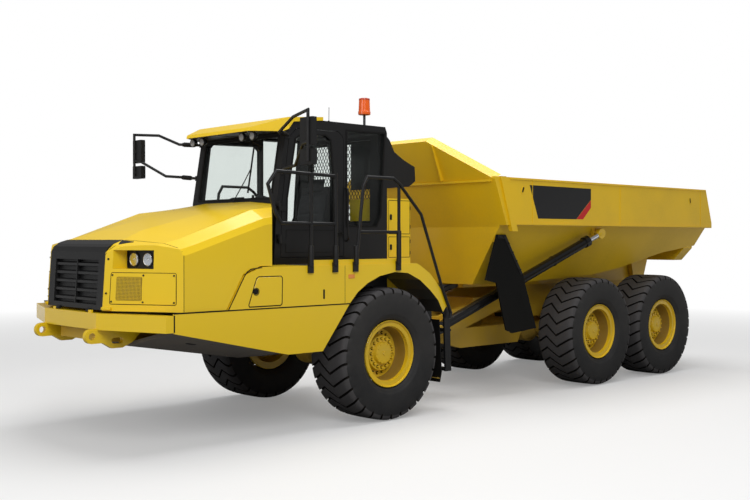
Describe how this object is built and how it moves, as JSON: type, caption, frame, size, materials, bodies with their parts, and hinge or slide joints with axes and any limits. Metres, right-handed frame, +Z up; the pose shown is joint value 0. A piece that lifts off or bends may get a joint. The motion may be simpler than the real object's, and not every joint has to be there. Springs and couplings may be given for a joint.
{
  "type": "articulated dump truck",
  "caption": "Articulated dump truck with a jointed frame, cab, raked hood, tipping bed with a spill guard, hoist and steering cylinders and large lugged tyres.",
  "frame": {"origin": "on the ground under the middle of the overall length, on the left-right mid plane", "axes": "+X forward, +Y to the driver's left, +Z up"},
  "size_m": [10.69, 3.61, 3.8527],
  "materials": {
    "yellow_paint": "gloss",
    "yellow_frame": "satin",
    "yellow_rim": "satin",
    "black_paint": "satin",
    "black_plastic": "matte",
    "black_rubber": "matte",
    "tyre": "matte",
    "tinted_glass": "gloss",
    "lamp_glass": "gloss",
    "orange_lamp": "gloss",
    "interior_plastic": "matte",
    "grey_guard": "matte",
    "rod_steel": "polished",
    "engine_iron": "matte"
  },
  "bodies": {
    "tractor": {"front_frame": "yellow_frame", "front_axle": "yellow_frame", "front_bumper": "yellow_paint", "belly_guard": "grey_guard", "side_skirts": "yellow_paint", "front_fenders": "yellow_paint", "engine": "engine_iron", "cab_frame": "black_paint", "cab_glass": "tinted_glass", "cab_roof": "yellow_paint", "cab_interior": "interior_plastic", "mirrors": "black_plastic", "handrails": "black_paint", "ladders": "black_paint", "beacon": "orange_lamp", "tank_cabinets": "yellow_paint", "air_duct": "black_plastic"},
    "door": {"cab_door": "black_paint", "door_glass": "tinted_glass"},
    "hood": {"hood": "yellow_paint", "grille": "black_plastic", "headlamps": "lamp_glass"},
    "wheel_front_left": {"tyre_front_left": "tyre", "rim_front_left": "yellow_rim"},
    "wheel_front_right": {"tyre_front_right": "tyre", "rim_front_right": "yellow_rim"},
    "wheel_middle_left": {"tyre_middle_left": "tyre", "rim_middle_left": "yellow_rim"},
    "wheel_middle_right": {"tyre_middle_right": "tyre", "rim_middle_right": "yellow_rim"},
    "wheel_rear_left": {"tyre_rear_left": "tyre", "rim_rear_left": "yellow_rim"},
    "wheel_rear_right": {"tyre_rear_right": "tyre", "rim_rear_right": "yellow_rim"},
    "hitch": {"hitch_yoke": "yellow_frame"},
    "rear_frame": {"rear_frame": "yellow_frame", "middle_axle": "yellow_frame", "rear_axle": "yellow_frame", "walking_beams": "yellow_frame"},
    "dump_body": {"dump_body": "yellow_paint", "bed_flaps": "black_rubber"},
    "steer_barrel_left": {"steer_barrel_left": "black_paint"},
    "steer_barrel_right": {"steer_barrel_right": "black_paint"},
    "steer_rod_left": {"steer_rod_left": "rod_steel"},
    "steer_rod_right": {"steer_rod_right": "rod_steel"},
    "hoist_barrel_left": {"hoist_barrel_left": "black_paint"},
    "hoist_barrel_right": {"hoist_barrel_right": "black_paint"},
    "hoist_rod_left": {"hoist_rod_left": "rod_steel"},
    "hoist_rod_right": {"hoist_rod_right": "rod_steel"}
  },
  "joints": [
    {"name": "steer", "type": "hinge", "parent": "tractor", "child": "hitch", "pos_m": [0.595, 0, 0.885], "axis": [0, 0, 1], "range_deg": [-45, 45]},
    {"name": "oscillate", "type": "hinge", "parent": "hitch", "child": "rear_frame", "pos_m": [0.385, 0, 0.885], "axis": [-1, 0, 0], "range_deg": [-15, 15]},
    {"name": "tip", "type": "hinge", "parent": "rear_frame", "child": "dump_body", "pos_m": [-4.605, 0, 1.38], "axis": [0, -1, 0], "range_deg": [0, 70]},
    {"name": "hood_tilt", "type": "hinge", "parent": "tractor", "child": "hood", "pos_m": [5.19, 0, 1.3745], "axis": [0, 1, 0], "range_deg": [0, 65]},
    {"name": "cab_door", "type": "hinge", "parent": "tractor", "child": "door", "pos_m": [3.15, 0.867, 2.3], "axis": [0, 0, -1], "range_deg": [0, 32]},
    {"name": "wheel_front_left", "type": "hinge", "parent": "tractor", "child": "wheel_front_left", "pos_m": [1.945, 1.1375, 0.77], "axis": [0, 1, 0], "continuous": true},
    {"name": "wheel_front_right", "type": "hinge", "parent": "tractor", "child": "wheel_front_right", "pos_m": [1.945, -1.1375, 0.77], "axis": [0, 1, 0], "continuous": true},
    {"name": "wheel_middle_left", "type": "hinge", "parent": "rear_frame", "child": "wheel_middle_left", "pos_m": [-2.255, 1.1375, 0.77], "axis": [0, 1, 0], "continuous": true},
    {"name": "wheel_middle_right", "type": "hinge", "parent": "rear_frame", "child": "wheel_middle_right", "pos_m": [-2.255, -1.1375, 0.77], "axis": [0, 1, 0], "continuous": true},
    {"name": "wheel_rear_left", "type": "hinge", "parent": "rear_frame", "child": "wheel_rear_left", "pos_m": [-3.955, 1.1375, 0.77], "axis": [0, 1, 0], "continuous": true},
    {"name": "wheel_rear_right", "type": "hinge", "parent": "rear_frame", "child": "wheel_rear_right", "pos_m": [-3.955, -1.1375, 0.77], "axis": [0, 1, 0], "continuous": true},
    {"name": "steer_barrel_left", "type": "hinge", "parent": "tractor", "child": "steer_barrel_left", "pos_m": [1.745, 0.55, 0.78], "axis": [0, 0, 1], "range_deg": [-1, 1]},
    {"name": "steer_rod_left", "type": "slide", "parent": "steer_barrel_left", "child": "steer_rod_left", "axis": [-0.998, -0.0639, 0], "range_m": [-0.345, 0.345]},
    {"name": "steer_barrel_right", "type": "hinge", "parent": "tractor", "child": "steer_barrel_right", "pos_m": [1.745, -0.55, 0.78], "axis": [0, 0, 1], "range_deg": [-1, 1]},
    {"name": "steer_rod_right", "type": "slide", "parent": "steer_barrel_right", "child": "steer_rod_right", "axis": [-0.998, 0.0639, 0], "range_m": [-0.345, 0.345]},
    {"name": "hoist_barrel_left", "type": "hinge", "parent": "rear_frame", "child": "hoist_barrel_left", "pos_m": [0.495, 0.8, 0.95], "axis": [0.3967, 0.7387, 0.5449], "range_deg": [0, 7.75]},
    {"name": "hoist_rod_left", "type": "slide", "parent": "hoist_barrel_left", "child": "hoist_rod_left", "axis": [-0.8977, 0.188, 0.3986], "range_m": [0, 2.7682]},
    {"name": "hoist_barrel_right", "type": "hinge", "parent": "rear_frame", "child": "hoist_barrel_right", "pos_m": [0.495, -0.8, 0.95], "axis": [-0.3967, 0.7387, -0.5449], "range_deg": [0, 7.75]},
    {"name": "hoist_rod_right", "type": "slide", "parent": "hoist_barrel_right", "child": "hoist_rod_right", "axis": [-0.8977, -0.188, 0.3986], "range_m": [0, 2.7682]}
  ],
  "couplings": [
    {"joint": "steer_barrel_left", "follows": "steer", "ratio": 0.01256},
    {"joint": "steer_rod_left", "follows": "steer", "m_per_rad": 0.4324},
    {"joint": "steer_barrel_right", "follows": "steer", "ratio": 0.01256},
    {"joint": "steer_rod_right", "follows": "steer", "m_per_rad": -0.4324},
    {"joint": "hoist_barrel_left", "follows": "tip", "ratio": 0.11054},
    {"joint": "hoist_rod_left", "follows": "tip", "m_per_rad": 2.265},
    {"joint": "hoist_barrel_right", "follows": "tip", "ratio": 0.11054},
    {"joint": "hoist_rod_right", "follows": "tip", "m_per_rad": 2.265}
  ]
}
